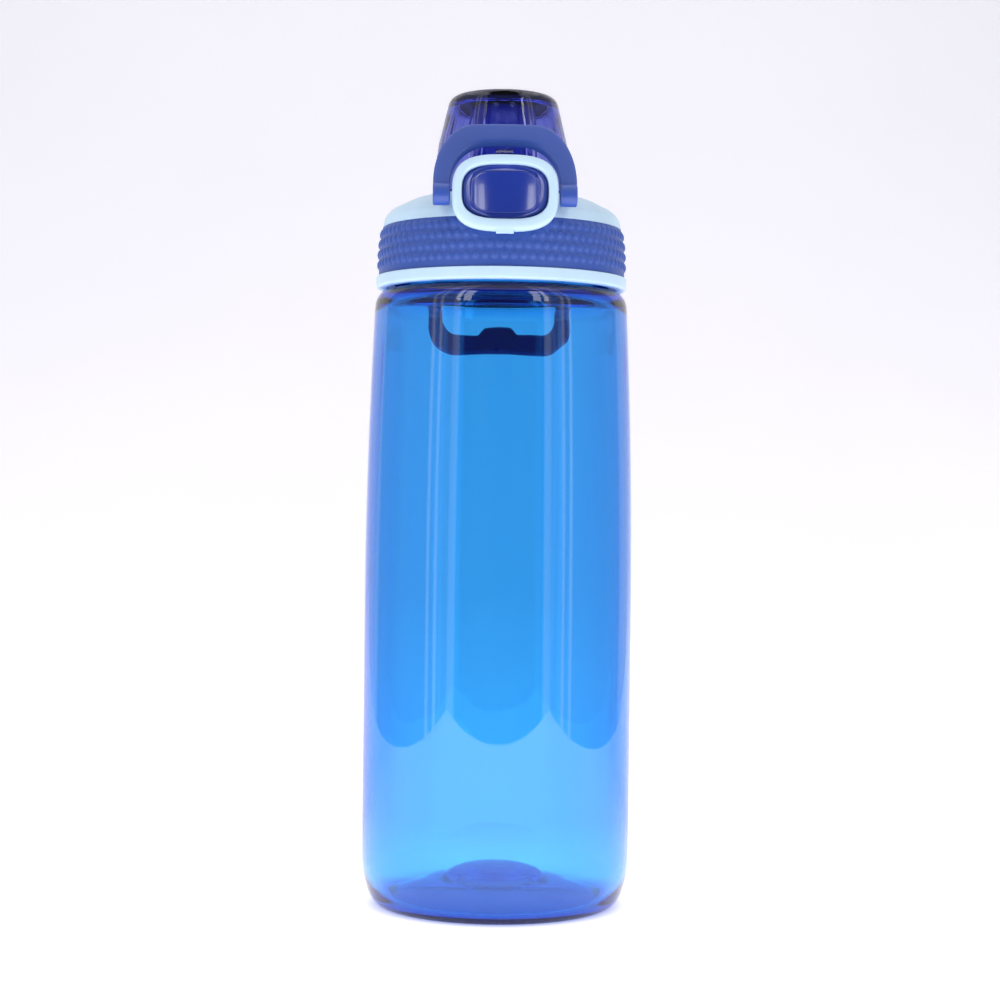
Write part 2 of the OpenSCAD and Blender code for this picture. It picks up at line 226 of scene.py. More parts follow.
def soften(obj, width, segments=3, angle=35):
    """Rounds the sharp edges of an object."""
    bevel = obj.modifiers.new("edges", "BEVEL")
    bevel.width = width * MM
    bevel.segments = segments
    bevel.limit_method = "ANGLE"
    bevel.angle_limit = math.radians(angle)
    return baked(obj)


def combine(obj, tool, operation):
    """Boolean of an object with a tool, which goes away."""
    step = obj.modifiers.new("combine", "BOOLEAN")
    step.operation = operation
    step.solver = "EXACT"
    step.object = tool
    baked(obj)
    bpy.data.objects.remove(tool)
    return obj


def add(obj, *tools):
    """Joins tools to an object."""
    for tool in tools:
        combine(obj, tool, "UNION")
    return obj


def cut(obj, *tools):
    """Cuts tools out of an object."""
    for tool in tools:
        combine(obj, tool, "DIFFERENCE")
    return obj


def finish_piece(obj, body, node, material, angle=32):
    """Shading, material, body and replaced node of a piece."""
    obj.data.materials.clear()
    obj.data.materials.append(material)
    obj.data.shade_smooth()
    obj.data.set_sharp_from_angle(angle=math.radians(angle))
    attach(obj, body)
    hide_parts(node)
    return obj


# ---------------------------------------------------------------- materials

class Paint:
    """Small helper that adds nodes to a new material."""

    def __init__(self, name):
        self.material = bpy.data.materials.new(name)
        self.material.use_nodes = True
        self.tree = self.material.node_tree
        self.shader = self.tree.nodes["Principled BSDF"]
        self.output = self.tree.nodes["Material Output"]
        self.place = self.node("ShaderNodeTexCoord").outputs["Object"]

    def node(self, kind, **settings):
        made = self.tree.nodes.new(kind)
        for key, value in settings.items():
            setattr(made, key, value)
        return made

    def link(self, source, target):
        self.tree.links.new(source, target)

    def stretched(self, scale):
        """Object coordinates scaled by (x, y, z)."""
        mapping = self.node("ShaderNodeMapping")
        mapping.inputs["Scale"].default_value = scale
        self.link(self.place, mapping.inputs["Vector"])
        return mapping.outputs["Vector"]

    def noise(self, scale, detail=3.0, vector=None):
        made = self.node("ShaderNodeTexNoise")
        made.inputs["Scale"].default_value = scale
        made.inputs["Detail"].default_value = detail
        self.link(vector or self.place, made.inputs["Vector"])
        return made.outputs["Fac"]

    def span(self, value, *limits):
        """Maps a value from (start, end) to (low, high)."""
        made = self.node("ShaderNodeMapRange")
        for socket, number in zip(("From Min", "From Max", "To Min", "To Max"), limits):
            made.inputs[socket].default_value = number
        self.link(value, made.inputs["Value"])
        return made.outputs["Result"]

    def product(self, first, second):
        made = self.node("ShaderNodeMath", operation="MULTIPLY")
        self.link(first, made.inputs[0])
        self.link(second, made.inputs[1])
        return made.outputs["Value"]

    def ramp(self, value, low, high):
        """Maps a noise value to low - high."""
        return self.span(value, 0.3, 0.7, low, high)

    def blend(self, factor, first, second):
        made = self.node("ShaderNodeMix", data_type="RGBA")
        made.inputs["A"].default_value = (*first, 1)
        made.inputs["B"].default_value = (*second, 1)
        self.link(factor, made.inputs["Factor"])
        return made.outputs["Result"]

    def bump(self, height, distance, strength=1.0):
        made = self.node("ShaderNodeBump")
        made.inputs["Distance"].default_value = distance
        made.inputs["Strength"].default_value = strength
        self.link(height, made.inputs["Height"])
        return made.outputs["Normal"]

    def put(self, name, value):
        """Sets a socket of the shader, or links it."""
        socket = self.shader.inputs[name]
        if hasattr(value, "is_linked"):
            self.link(value, socket)
        else:
            socket.default_value = value


def moulded(name, colour, roughness, grain=900.0, depth=0.00002, coat=0.0, spread=0.06):
    """Injection-moulded plastic: faint flow mottling, fine texture and uneven gloss."""
    paint = Paint(name)
    mottle = paint.ramp(paint.noise(55, 4, paint.stretched((1, 1, 0.35))), 0, 1)
    dark = tuple(c * (1 - spread) for c in colour)
    light = tuple(min(1, c * (1 + spread)) for c in colour)
    paint.put("Base Color", paint.blend(mottle, dark, light))
    paint.put("Roughness", paint.ramp(paint.noise(240, 5), roughness * 0.86, roughness * 1.14))
    paint.put("Normal", paint.bump(paint.noise(grain, 4), depth))
    paint.put("IOR", 1.5)
    paint.put("Coat Weight", coat)
    paint.put("Coat Roughness", 0.08)
    return paint.material


def clear_plastic(name, colour, density, flow, roughness=(0.0, 0.03)):
    """Clear coloured plastic: it takes up light along the way through it, and has faint flow marks."""
    paint = Paint(name)
    paint.put("Base Color", (1, 1, 1, 1))
    paint.put("Transmission Weight", 1.0)
    paint.put("IOR", 1.54)
    paint.put("Roughness", paint.ramp(paint.noise(30, 4), *roughness))
    paint.put("Normal", paint.bump(paint.noise(1, 3, paint.stretched(flow)), 0.00006, 0.5))
    absorb = paint.node("ShaderNodeVolumeAbsorption")
    absorb.inputs["Color"].default_value = (*colour, 1)
    absorb.inputs["Density"].default_value = density
    paint.link(absorb.outputs["Volume"], paint.output.inputs["Volume"])
    see_through = paint.node("ShaderNodeBsdfTransparent")
    mix = paint.node("ShaderNodeMixShader")
    paint.link(paint.node("ShaderNodeLightPath").outputs["Is Shadow Ray"], mix.inputs[0])
    paint.link(paint.shader.outputs["BSDF"], mix.inputs[1])
    paint.link(see_through.outputs["BSDF"], mix.inputs[2])
    paint.link(mix.outputs["Shader"], paint.output.inputs["Surface"])
    return paint.material


def rubbery(name, colour, roughness=0.55, sheen=0.15):
    """Soft moulded rubber or silicone: matt, faintly dusty, with a fine skin."""
    paint = Paint(name)
    patch = paint.ramp(paint.noise(38, 5), 0, 1)
    dusty = tuple(min(1, c * 1.1 + 0.004) for c in colour)
    paint.put("Base Color", paint.blend(patch, colour, dusty))
    paint.put("Roughness", paint.ramp(paint.noise(400, 4), roughness * 0.9, roughness * 1.1))
    paint.put("Normal", paint.bump(paint.noise(1500, 3), 0.00003))
    paint.put("Sheen Weight", sheen)
    paint.put("Sheen Roughness", 0.4)
    return paint.material


def drawn_steel(name):
    """Drawn steel wire or pin: fine scratches along X."""
    paint = Paint(name)
    scratches = paint.noise(1, 4, paint.stretched((300, 9000, 9000)))
    shade = paint.ramp(scratches, 0, 1)
    paint.put("Base Color", paint.blend(shade, (0.5, 0.5, 0.52), (0.66, 0.66, 0.68)))
    paint.put("Metallic", 1.0)
    paint.put("Roughness", paint.ramp(scratches, 0.22, 0.38))
    paint.put("Normal", paint.bump(scratches, 0.000005))
    return paint.material


def make_materials():
    """Every material, by name."""
    return {
        "clear_body": clear_plastic("clear_body", (0.05, 0.715, 0.96), 800, (60, 60, 4)),
        "clear_cap": clear_plastic("clear_cap", (0.17, 0.25, 0.8), 600, (150, 150, 10)),
        "pale_plastic": moulded("pale_plastic", (0.546, 0.745, 0.896), 0.38),
        "navy_plastic": moulded("navy_plastic", (0.0097, 0.0168, 0.156), 0.3),
        "ring_plastic": moulded("ring_plastic", (0.038, 0.091, 0.402), 0.36),
        "spout_plastic": moulded("spout_plastic", (0.03, 0.06, 0.5), 0.35),
        "button_plastic": moulded("button_plastic", (0.013, 0.038, 0.305), 0.16, grain=3500, coat=1.0),
        "soft_grip": rubbery("soft_grip", (0.026, 0.080, 0.361), 0.5, sheen=0.1),
        "silicone": rubbery("silicone", (0.72, 0.74, 0.76)),
        "navy_silicone": rubbery("navy_silicone", (0.006, 0.008, 0.03), 0.5, sheen=0.0),
        "seal_rubber": rubbery("seal_rubber", (0.012, 0.012, 0.02), 0.5),
        "steel": drawn_steel("steel"),
    }


# ---------------------------------------------------------------- bottle

WALL = 2.2
PUNT = 7
TAPER_START, TAPER_END, TAPER_DEPTH = 88, 173, 2.1


def punt_height(r):
    """Height of the hollow base at a radius."""
    return PUNT * (1 - (r / 31.5) ** 2.4)


def bottle_profile():
    """Outside from the middle of the base to the neck, then inside back to the middle."""
    high = box_mm("bottle_body")[1]
    barrel, top = high.x, high.z
    taper = (TAPER_END - TAPER_START) ** 2 / (2 * TAPER_DEPTH)
    side = []
    for i in range(25):
        z = TAPER_START + (TAPER_END - TAPER_START) * i / 24
        side.append((barrel - (z - TAPER_START) ** 2 / (2 * taper), z))
    radii = [14 + 1.5 * i for i in range(11)]
    outside = [(0, 9.3), (4, 9.15), (8, 8.6), (10.5, 7.9), (11.6, 7.2), (12.4, 6.5)]
    outside += [(r, punt_height(r)) for r in radii]
    outside += rounded([(29.6, 0.98, 0), (31.5, 0, 2.2), (33.4, 0.15, 0)])[1:-1]
    outside += arc(33, 14, barrel - 33, 14, -80, 0, 26)
    outside += [(barrel, z) for z in (30, 50, 70)] + side
    outside += arc(33.4, 173, 3.5, 5.6, 8, 90, 16)[1:]
    outside += rounded([(32.6, 178.75, 0), (30.2, 179.6, 1.2), (29.6, 181.5, 0), (29.6, top, 0.5),
                        (28.4, top, 0)])[1:]
    inside = rounded([(28.4, top, 0), (27.2, top, 0.5), (27.2, 178.2, 1.8), (29.6, 176.8, 1.5),
                      (31.0, 176.4, 0)])[1:-1]
    inside += arc(31.2, 171.6, 3.5, 4.8, 88, 0, 16)
    inside += [(r - WALL, z) for r, z in reversed(side) if z < 171]
    inside += [(barrel - WALL, z) for z in (70, 50, 30)]
    inside += arc(31.5, 13, 5.3, 10.5, 0, -82, 24)
    inside += [(r, punt_height(r) + 2.5) for r in reversed(radii) if 15 < r < 30.6]
    inside += [(14.2, 8.7), (13.4, 9.3), (12.2, 10.1), (9.5, 11.0), (5, 11.7), (0, 11.9)]
    return outside + inside


def helix(name, root, crest, start_z, turn, lead=8.0, turns=0.85):
    """One raised thread start, which fades out at both ends."""
    span = 360 * turns
    steps = 84
    rings = []
    for i in range(steps + 1):
        s = span * i / steps
        a = math.radians(turn + s)
        z = start_z + lead * s / 360
        fade = max(0.1, min(1, s / 30, (span - s) / 30))
        tip = root + (crest - root) * fade
        near_tip = root + (crest - root) * fade * 0.8
        section = [(root, -1.1), (near_tip, -0.75), (tip, -0.45),
                   (tip, 0.45), (near_tip, 0.75), (root, 1.1)]
        rings.append([(r * math.cos(a), r * math.sin(a), z + h) for r, h in section])
    return skin(name, rings)


def ripple_inside(obj, middle, low_z, high_z, scale, depth, pitch):
    """Uneven inner wall, as moulded clear plastic has. The wall's middle is a line of (height, radius)."""
    for vertex in obj.data.vertices:
        x, y, z = vertex.co / MM
        r = math.hypot(x, y)
        if not (low_z < z < high_z and r < along(middle, z)):
            continue
        fade = smooth((z - low_z) / 12) * smooth((high_z - z) / 8)
        spot = Vector((x / r * scale, y / r * scale, z * pitch))
        shift = 1 + depth * fade * noise.noise(spot) / r
        vertex.co.x *= shift
        vertex.co.y *= shift


def make_bottle(materials):
    """Clear body with a hollow base and a two-start thread."""
    obj = lathe("clear_bottle", bottle_profile(), 224)
    ripple_inside(obj, ((88, 37.2), (170, 35.6)), 14, 170, 5.5, 0.13, 0.006)
    add(obj, *[helix("thread", 29.2, 30.9, 186.4, turn) for turn in (0, 180)])
    return finish_piece(obj, "bottle", "bottle_body", materials["clear_body"], 40)


# ---------------------------------------------------------------- lid

def shell_inside(name):
    """Tool in the shape of the space under the dome."""
    corners = [(0, 177, 0), (33.5, 177, 0), (33.5, 196.5, 1), (31.2, 200.2, 2), (25.2, 203.3, 4),
               (20.4, 204.1, 2), (0, 204.1, 0)]
    return lathe(name, rounded(corners), 128)


def make_shell(materials):
    """Pale shell: rim, dome, button housing and rear hinge block."""
    rim = box_mm("lid_shell")[0].z
    corners = [
        (33.5, rim, 0.2), (36.6, rim, 1.0), (36.6, 182.6, 0.25), (34.6, 182.6, 0.2), (34.6, 196.8, 0.2),
        (34.95, 196.8, 0.25), (34.2, 199.9, 2.5), (32.2, 201.9, 3.2), (25.8, 205.1, 12), (20.6, 206, 6),
        (10.3, 206, 0.5), (10.3, 204.1, 0.2), (20.4, 204.1, 2), (25.2, 203.3, 4), (31.2, 200.2, 2),
        (33.5, 196.5, 1)]
    obj = lathe("lid_dome", rounded(corners, closed=True, step=8), 224, wrap=True)
    housing = layers_y("housing", [(y, 14.4, 10.3, 3) for y in (-37.2, -34, -24)], HOUSING_Z)
    hinge = [(21, 203), (21, 205.6), (31, 205.5)] + arc(*LOOP_PIVOT, 3.2, 3.2, 70, -60, 16)
    hinge += [(34, 198), (30, 198)]
    rear = soften(plate("rear", hinge, -17.4, 17.4), 0.5)
    additions = cut(add(housing, rear), shell_inside("core"))
    ears = [(20.9, 205)] + arc(*CAP_PIVOT, 2.6, 2.6, 180, 0, 20) + [(28.2, 205)]
    for side in (-7.5, 7.5):
        add(additions, soften(plate("ear", ears, side - 1.2, side + 1.2), 0.3, 2))
    add(obj, additions)
    well = [(-40, 12.2, 8.4, 3), (-34.4, 12.2, 8.4, 3)]
    back = [(-37.2, 10.6, 7.95, 3), (-25.6, 10.6, 7.95, 3)]
    upper = block("upper", (-15, -40, 201.2), (15, -20, 216))
    deep = combine(layers_y("deep", back, PAD_Z), upper, "INTERSECT")
    cut(obj, layers_y("well", well, PAD_Z), deep)
    cut(obj, block("channel", (-5.3, -26, 201), (5.3, -17.4, 204)))
    cut(obj, block("slot", (-3.1, -23.6, 202), (3.1, -19.6, 208)))
    cut(obj, rod_x("ring_bore", 1.66, -16, 16, *RING_PIVOT), rod_x("pin_bore", 1, -10, 10, *CAP_PIVOT))
    for side in (-14.5, 14.5):
        cut(obj, rod_x("loop_bore", 1.25, side - 4.5, side + 4.5, *LOOP_PIVOT))
    return finish_piece(obj, "lid", "lid_shell", materials["pale_plastic"])


BUMP_COUNT = 84
BUMP_ROWS = (185.9, 188.95, 192.0, 195.0)
BUMP_R = 1.22
BUMP_HEIGHT = 0.55
BAND_LOW, BAND_HIGH = 182.65, 196.75
BAND_INSIDE = 34.65
BAND_MIDDLE = 35.8
BAND_RADIUS = ((BAND_LOW, 35.9), (188, 35.85), (191, 35.7), (194, 35.35), (BAND_HIGH, 34.85))


def bump_height(turn, z):
    """Height of the nearest bump at a place on the band."""
    best = 0.0
    pitch = 2 * math.pi / BUMP_COUNT
    for row, centre_z in enumerate(BUMP_ROWS):
        offset = pitch / 2 * (row % 2)
        around = ((turn - offset) / pitch + 0.5) % 1 - 0.5
        distance = math.hypot(around * pitch * BAND_MIDDLE, z - centre_z) / BUMP_R
        if distance < 1:
            best = max(best, BUMP_HEIGHT * (1 - distance ** 2.6))
    return best


def make_band(materials):
    """Soft grip band with four rows of round bumps, and a plain margin round the housing."""
    per_bump = 9
    sides = BUMP_COUNT * per_bump
    heights = [182.75 + 13.95 * i / 46 for i in range(47)]
    rings = []
    for z in [BAND_LOW, *heights, BAND_HIGH]:
        ring = []
        edge = 0.12 if z in (BAND_LOW, BAND_HIGH) else 0.0
        for a in circle(sides):
            x, y = math.sin(a), -math.cos(a)
            near = math.hypot(x * BAND_MIDDLE / 16.2, (z - HOUSING_Z) / 12.2) if y < 0 else 9
            plain = smooth((near - 0.98) / 0.05)
            r = along(BAND_RADIUS, z) - edge + bump_height(a, z) * plain
            ring.append((r * x, r * y, z))
        rings.append(ring)
    for z in (BAND_HIGH, BAND_LOW):
        rings.append([(BAND_INSIDE * math.sin(a), -BAND_INSIDE * math.cos(a), z) for a in circle(sides)])
    obj = skin("grip_sleeve", rings, wrap=True)
    cut(obj, layers_y("clear", [(y, 14.5, 10.4, 3) for y in (-45, -20)], HOUSING_Z))
    return finish_piece(obj, "lid", "grip_band", materials["soft_grip"], 50)


PAD = (8.8, 5.62)
PAD_RISE = 0.37


def make_bezel(materials):
    """Pale ring round the button, swept from a rounded section, with a small tab below."""
    front = box_mm("button_bezel")[0].y
    back = front + 2.2
    section = [(0, back), (0, front + 0.7), (0.05, front + 0.3), (0.16, front + 0.06), (0.32, front),
               (0.55, front), (0.74, front + 0.12), (0.88, front + 0.4), (0.96, front + 0.8),
               (1, front + 1.3), (1, back)]
    inner = squircle(12, 7.55, 3, 160)
    outer = squircle(14.7, 10.6, 3, 160)
    rings = []
    for t, y in section:
        ring = []
        for (ax, az), (bx, bz) in zip(inner, outer):
            ring.append((ax + (bx - ax) * t, y, PAD_Z + az + (bz - az - PAD_RISE) * t))
        rings.append(ring)
    obj = skin("bezel_ring", rings, wrap=True)
    tab = rounded([(back, 191.35, 0.15), (front + 0.3, 191.35, 0.2), (front + 0.15, 193.2, 0.1),
                   (back, 193.2, 0.1)], closed=True)
    add(obj, soften(plate("tab", tab, -2.45, 2.45), 0.1, 2))
    return finish_piece(obj, "lid", "button_bezel", materials["pale_plastic"])


def make_button(materials):
    """Glossy push button: dished pad, flange, and two arms that reach back to a cross bar."""
    front = box_mm("latch_button")[0].y
    layers = [(0, PAD[0] * s, PAD[1] * s, 4, 1) for s in (0.2, 0.4, 0.6, 0.75, 0.87, 0.95, 1)]
    layers += [
        (0.05, 8.95, 5.72, 4, 1), (0.2, 9.08, 5.8, 4, 1), (0.45, 9.15, 5.85, 4, 0.95),
        (0.56, 9.25, 5.9, 3.9, 0.9),
        (0.62, 9.5, 6.02, 3.8, 0.8), (0.82, 10, 6.3, 3.6, 0.65), (1.07, 10.5, 6.6, 3.4, 0.5),
        (1.32, 10.95, 6.85, 3.2, 0.35), (1.62, 11.35, 7.07, 3, 0.2), (1.95, 11.65, 7.2, 3, 0.08),
        (2.1, 11.7, 7.25, 3, 0), (2.1, 11.8, 8.05, 3, 0), (3, 11.8, 8.05, 3, 0)]
    rings = [[(0, front + 2.24, PAD_Z)]]
    for depth, a, b, n, dish in layers:
        ring = []
        for u, v in squircle(a, b, n):
            hollow = 1.7 * max(0, 1 - (u / PAD[0]) ** 2) + 0.26 * max(0, 1 - (v / PAD[1]) ** 2)
            lean = 0.05 * max(0, v + PAD[1])
            ring.append((u, front + depth + dish * (hollow + lean), PAD_Z + v))
        rings.append(ring)
    obj = skin("push_button", rings + [[(0, front + 3, PAD_Z)]])
    for side in (-4.05, 4.05):
        add(obj, soften(block("arm", (side - 0.75, -36.5, 202.4), (side + 0.75, -18.6, 203.7)), 0.15, 2))
    add(obj, soften(block("bar", (-4.8, -19.8, 202.4), (4.8, -18.6, 203.7)), 0.15, 2))
    boss = [(0, -36.5), (1.4, -36.5), (1.4, -34.2), (1.2, -34), (0, -34)]
    add(obj, turned("boss", boss, 40, lambda u, v, y: (u, y, 207.27 + v)))
    return finish_piece(obj, "button", "latch_button", materials["button_plastic"], 50)


def make_spout(materials):
    """Straight spout with a soft lip and the flange that holds it in the deck."""
    corners = [(6.5, 197.6, 0.2), (10.95, 197.6, 0.3), (10.95, 200.4, 0), (11.6, 200.4, 0),
               (11.6, 201.35, 0.1), (12.8, 201.35, 0.1), (12.8, 200.4, 0), (14, 200.4, 0.1),
               (14, 202.2, 0.3), (9.8, 202.2, 0.8), (9.2, 230.4, 4), (9.5, 231.2, 0.4), (9.4, 232.1, 0.3),
               (9, 232.4, 0.2), (7.2, 232.4, 0.3), (6.5, 231.2, 1)]
    obj = lathe("drinking_spout", rounded(corners, closed=True, step=15), 128, wrap=True)
    return finish_piece(obj, "lid", "spout", materials["spout_plastic"])


# ---------------------------------------------------------------- cap

PANEL_STEP = 0.18
PANEL_BEVEL = 0.5
CAP_WALL = ((206.4, 19.5), (213, 18.5), (221.3, 17.6), (226.5, 16.15), (231, 15.0))


def cap_ring(r, z, press, steps=18, rest=260):
    """Ring of the cap, whose front is pressed flat a little behind two crisp edges."""
    half = min(5.25 + max(0, 232 - z) * 0.12, 0.34 * r)
    crease = math.asin(half / r)
    flat = -r * math.cos(crease) + PANEL_STEP
    ring = []
    for i in range(steps + 1):
        x = (half - PANEL_BEVEL * press) * (2 * i / steps - 1)
        curved = -math.sqrt(r * r - x * x)
        ring.append((x, curved + (flat - curved) * press, z))
    for i in range(rest + 1):
        a = crease + (2 * math.pi - 2 * crease) * (i if press else i + 0.5) / (rest if press else rest + 1)
        ring.append((r * math.sin(a), -r * math.cos(a), z))
    return ring


def cap_outside(top):
    """Outside of the cap from its foot to near the middle of its roof, as (radius, height)."""
    side = [(19.6, 206.4, 0), (20.6, 206.4, 0.5), (19.0, 221.3, 60), (17.7, 226.5, 40), (16.6, 231.2, 20),
            (16.1, 233.4, 0)]
    roof = [(10.5, top - 0.26), (8, top - 0.15), (5, top - 0.06), (2.5, top - 0.02)]
    return rounded(side, step=2.5)[1:-1] + arc(12.6, top - 3.9, 3.6, 3.5, 18, 84, 14) + roof


def cap_inside(top):
    """Inside of the cap from near the middle of its roof, past the bead that holds the seal, to its foot."""
    return [(2.5, top - 2), (5, top - 2.05), (8, top - 2.17), (10.2, top - 2.3), (12.1, top - 2.5),
            (12.9, top - 2.7), (13.6, top - 3.1), (14.1, top - 3.5), (13.6, top - 3.6), (12.9, top - 3.75),
            (12.9, top - 4), (13.6, top - 4.25), (14.3, top - 4.6), (14.55, 230.4), (15.2, 228.3),
            (15.8, 226.5), (16.1, 225.4), (16.5, 224), (16.8, 222.7), (17.1, 221.3), (17.4, 218.5),
            (17.7, 215.8), (18.0, 213), (18.25, 210.5), (18.5, 208), (18.7, 206.7), (18.9, 206.4)]


def make_cap(materials):
    """Clear dark cap with a flat front panel, hinge knuckles and the tongue for the latch."""
    top = box_mm("flip_cap")[1].z
    outer, inner = cap_outside(top), cap_inside(top)
    rings = [cap_ring(r, z, smooth((235.6 - z) / 2) * smooth((z - 210) / 6)) for r, z in outer]
    rings += [[(0, 0, top)], [(0, 0, top - 2)]]
    rings += [cap_ring(r, z, 0) for r, z in inner]
    obj = skin("clear_cap", rings, wrap=True, gap=len(outer))
    ripple_inside(obj, CAP_WALL, 207, 231, 21, 0.16, 0.02)
    knuckle = [(18.6, 206.6), (23.5, 206.2)] + arc(*CAP_PIVOT, 2.4, 2.4, -75, 90, 20) + [(18.4, 212)]
    for side in (-4.7, 4.7):
        add(obj, soften(plate("knuckle", knuckle, side - 1.3, side + 1.3), 0.3, 2))
    tongue = [(-23, 216), (-23, 201.7), (-22.3, 200.9), (-20.9, 200.9), (-20.2, 201.5), (-20.2, 202.1),
              (-21.4, 202.1), (-21.4, 206.4), (-19.6, 206.4), (-18.4, 217.4), (-21, 217.4)]
    add(obj, soften(plate("tongue", tongue, -2.5, 2.5), 0.2, 2))
    cut(obj, rod_x("pin_bore", 1.06, -10, 10, *CAP_PIVOT))
    return finish_piece(obj, "cap", "flip_cap", materials["clear_cap"], 14)


def make_seal(materials):
    """Dark disc moulded to the underside of the cap's roof, thicker over the spout."""
    low, high = box_mm("cap_seal")
    top = high.z + 0.23
    profile = [(0, low.z), (9.5, low.z), (9.7, low.z + 0.1), (13.4, low.z + 0.1), (14.16, low.z + 0.14),
               (13.66, top - 1.12), (12.95, top - 0.7), (12.1, top - 0.51), (10.2, top - 0.32),
               (8, top - 0.19), (5, top - 0.07), (2.5, top - 0.02), (0, top)]
    obj = lathe("roof_seal", profile)
    return finish_piece(obj, "cap", "cap_seal", materials["navy_silicone"])


# ---------------------------------------------------------------- ring and loop

def bow(name, outer, inner, place, squareness=5.0, steps=28):
    """Bow-shaped bar between two edges, given as right-hand halves from the end to the middle."""
    pairs = list(zip(outer, inner))
    left = [((-a[0], a[1]), (-b[0], b[1])) for a, b in reversed(pairs[:-1])]
    section = squircle(1, 1, squareness, steps)
    rings = []
    for a, b in pairs + left:
        ring = []
        for u, w in section:
            t = (u + 1) / 2
            ring.append(place(b[0] + (a[0] - b[0]) * t, b[1] + (a[1] - b[1]) * t, w))
        rings.append(ring)
    return skin(name, rings)


def make_lock_ring(materials):
    """Bail that stands in front of the cap, on two bosses with stub axles."""
    lean = math.radians(26.6)
    half = 1.6
    outer = [(20, 0), (20, 1.8)] + arc(8.5, 3.6, 11.5, 19.4, 0, 90, 26)
    outer += [(6, 23.1), (3, 23.18), (0, 23.2)]
    inner = [(15.2, 0), (15.2, 1.8)] + arc(4.2, 3.6, 11, 13.2, 0, 90, 26)
    inner += [(3, 16.85), (1.5, 16.9), (0, 16.9)]

    def place(x, u, w):
        y = RING_PIVOT[0] + u * math.sin(lean) + w * half * math.cos(lean)
        z = RING_PIVOT[1] + u * math.cos(lean) - w * half * math.sin(lean)
        return (x, y, z)

    obj = bow("lock_bail", outer, inner, place, 6)
    for side in (-1, 1):
        x0, x1 = sorted((side * 15.2, side * 20))
        add(obj, rod_x("boss", 3.1, x0, x1, *RING_PIVOT, 0.5))
        x0, x1 = sorted((side * 12.6, side * 16))
        add(obj, rod_x("stub", 1.6, x0, x1, *RING_PIVOT, 0.2))
    return finish_piece(obj, "ring", "lock_ring", materials["ring_plastic"], 40)


def make_loop(materials):
    """Carry loop with rounded edges, a bump on its bar and a step forward to its pins."""
    low = box_mm("carry_loop")[0].z
    arms = [LOOP_PIVOT[1], 200, 198.5, 197, 195.8, 194.6, 193, 188, 182, 176]
    outer = [(23.3, z) for z in arms] + arc(14.3, low + 9, 9, 9, 0, -90, 16)
    outer += [(11, low + 0.15), (8, low + 0.3), (6.4, low + 0.36), (5.6, low + 0.4), (4.6, low + 0.43)]
    outer += [(3.8, low + 0.46), (2.5, low + 0.49), (0, low + 0.5)]
    bar = low + 6.5
    inner = [(18.5, z) for z in arms] + arc(13.7, bar + 4.8, 4.8, 4.8, 0, -90, 16)
    inner += [(11, bar), (8, bar), (6.4, bar + 0.05), (5.6, bar + 0.6), (4.6, bar + 1.6), (3.8, bar + 2.15)]
    inner += [(2.5, bar + 2.2), (0, bar + 2.2)]

    def place(x, z, w):
        forward = smooth((z - 193) / 8.6)
        return (x, 39.7 - 4.3 * forward + w * (1.7 + 0.9 * forward), z)

    obj = bow("hand_loop", outer, inner, place, 4)
    for side in (-1, 1):
        x0, x1 = sorted((side * 18.5, side * 23.3))
        add(obj, rod_x("boss", 3.4, x0, x1, *LOOP_PIVOT, 0.7))
    cut(obj, rod_x("bore", 1.31, -30, 30, *LOOP_PIVOT))
    return finish_piece(obj, "loop", "carry_loop", materials["navy_plastic"], 40)


# ---------------------------------------------------------------- studio

LENS, SENSOR = 76.25, 36
SHIFT = (0.001, -0.0092)
YAW, ROLL = 1.2, 0.66
CAMERA_HEIGHT, CAMERA_DISTANCE = 0.1205, 0.6209


def add_camera():
    """Level camera in front of the bottle, a little to its left, with a slight roll."""
    data = bpy.data.cameras.new("camera")
    data.lens = LENS
    data.sensor_width = SENSOR
    data.shift_x, data.shift_y = SHIFT
    camera = bpy.data.objects.new("camera", data)
    SCENE.collection.objects.link(camera)
    yaw, roll = math.radians(YAW), math.radians(ROLL)
    ahead = Vector((math.sin(yaw), math.cos(yaw), 0))
    right = Vector((math.cos(yaw), -math.sin(yaw), 0))
    up = Vector((0, 0, 1))
    x_axis = right * math.cos(roll) + up * math.sin(roll)
    y_axis = up * math.cos(roll) - right * math.sin(roll)
    turn = Matrix((x_axis, y_axis, -ahead)).transposed().to_4x4()
    camera.matrix_world = Matrix.Translation(up * CAMERA_HEIGHT - ahead * CAMERA_DISTANCE) @ turn
    SCENE.camera = camera


FLOOR_EDGE = -0.46
CURVE_START, WALL_Y = 0.69, 1.19
SWEEP_WIDTH = ((FLOOR_EDGE, 0.42), (0.3, 0.43), (CURVE_START, 0.55), (WALL_Y, 0.7))

# How strongly the paper glows, as (start, end, strength at the start, strength at the end)
GLOW_BY_HEIGHT = (0, 0.045, 0.44, 0.33)
GLOW_BY_DEPTH = (-0.05, 0.15, 3.3, 1)
# Painted shadow: the glow falls to a tenth under the bottle, within 30 to 48 mm of its axis
PAINTED_SHADOW_UNDER = (0.03, 0.048, 0.1, 1)


